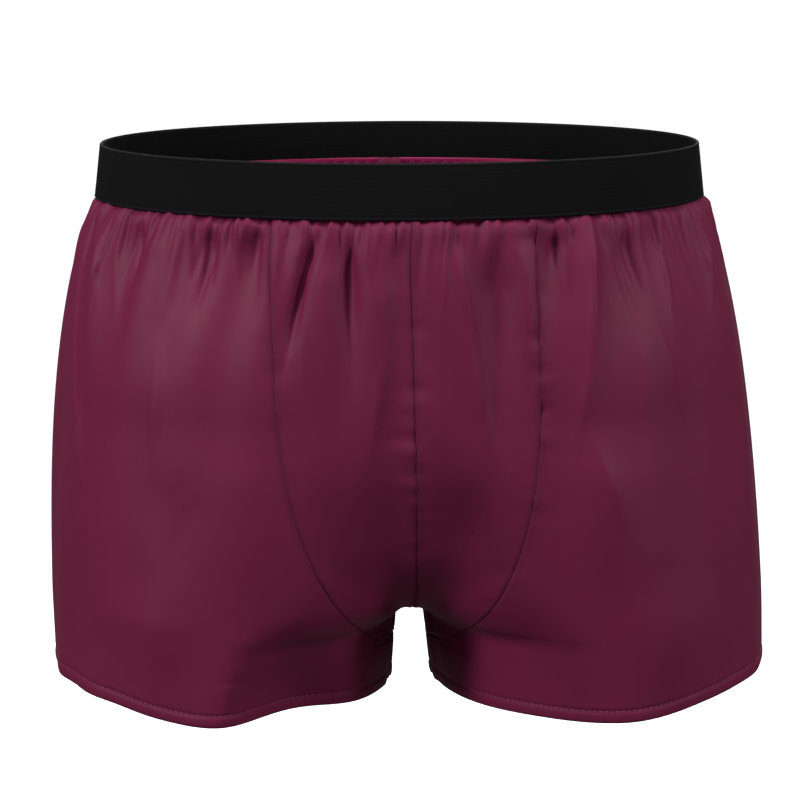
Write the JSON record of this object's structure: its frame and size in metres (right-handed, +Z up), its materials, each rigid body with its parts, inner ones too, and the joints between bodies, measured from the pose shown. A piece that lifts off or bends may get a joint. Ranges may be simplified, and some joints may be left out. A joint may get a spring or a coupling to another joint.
{
  "type": "boxer shorts",
  "caption": "Loose men's boxer shorts in burgundy satin with a contoured front, gathered onto a plain black elastic waistband, in the hollow shape they take when worn.",
  "frame": {"origin": "centre of the waistband's ring, halfway up the band, where a waist holds the shorts", "axes": "+X to the wearer's left, +Y from the front to the seat, +Z up out of the waist opening"},
  "size_m": [0.3741, 0.2516, 0.2816],
  "materials": {
    "satin": "burgundy satin weave with a soft sheen",
    "elastic": "matte black woven elastic"
  },
  "bodies": {
    "root": {"waistband": "elastic", "front_panel_left": "satin", "front_panel_right": "satin", "leg_panel_left": "satin", "leg_panel_right": "satin"}
  },
  "joints": []
}
